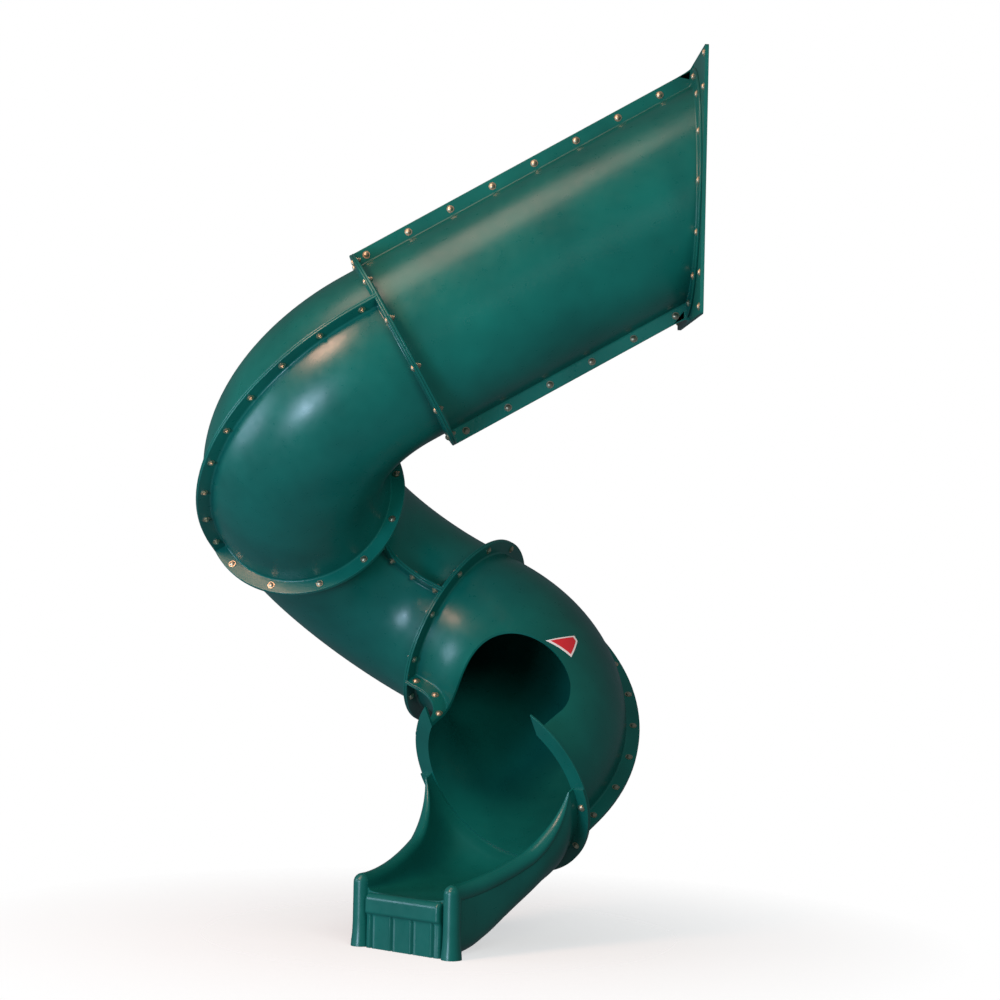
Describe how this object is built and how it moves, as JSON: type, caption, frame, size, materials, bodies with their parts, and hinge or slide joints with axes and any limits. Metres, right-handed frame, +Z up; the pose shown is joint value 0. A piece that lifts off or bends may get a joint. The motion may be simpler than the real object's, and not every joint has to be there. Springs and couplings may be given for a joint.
{
  "type": "enclosed spiral tube slide",
  "caption": "Enclosed spiral tube slide: wall panel with round entrance, sloping entry tube, right-turning bolted half-shell elbows, arched exit opening and short open chute on a foot.",
  "frame": {"origin": "centre of the wall panel's back face, which is also the centre of its four corner bolt holes", "axes": "+X points out of the panel's back face into the deck wall it is bolted to, +Z is up, and the slide runs down towards -X"},
  "size_m": [1.6613, 1.528, 2.9596],
  "materials": {
    "shells": "glossy dark green rotomoulded polyethylene",
    "chute": "glossy dark green rotomoulded polyethylene",
    "wall_panel": "satin dark green polyethylene sheet",
    "bolts": "zinc-plated steel",
    "washers": "zinc-plated steel",
    "nuts": "zinc-plated steel",
    "inserts": "bare brass"
  },
  "bodies": {
    "root": {"wall_panel": "wall_panel", "entry_shell_left": "shells", "entry_shell_right": "shells", "elbow_1_upper_shell": "shells", "elbow_1_lower_shell": "shells", "elbow_2_upper_shell": "shells", "elbow_2_lower_shell": "shells", "exit_elbow_upper_shell": "shells", "exit_elbow_lower_shell": "shells", "exit_chute": "chute", "end_flange_screws": "bolts", "end_flange_washers": "washers", "end_flange_inserts": "inserts", "entry_seam_bolts": "bolts", "entry_seam_washers": "washers", "entry_seam_nuts": "nuts", "elbow_1_seam_bolts": "bolts", "elbow_1_seam_washers": "washers", "elbow_1_seam_nuts": "nuts", "elbow_2_seam_bolts": "bolts", "elbow_2_seam_washers": "washers", "elbow_2_seam_nuts": "nuts", "exit_elbow_seam_bolts": "bolts", "exit_elbow_seam_washers": "washers", "exit_elbow_seam_nuts": "nuts", "ring_1_bolts": "bolts", "ring_1_washers": "washers", "ring_1_nuts": "nuts", "ring_2_bolts": "bolts", "ring_2_washers": "washers", "ring_2_nuts": "nuts", "ring_3_bolts": "bolts", "ring_3_washers": "washers", "ring_3_nuts": "nuts", "ring_4_bolts": "bolts", "ring_4_washers": "washers", "ring_4_nuts": "nuts"}
  },
  "joints": []
}
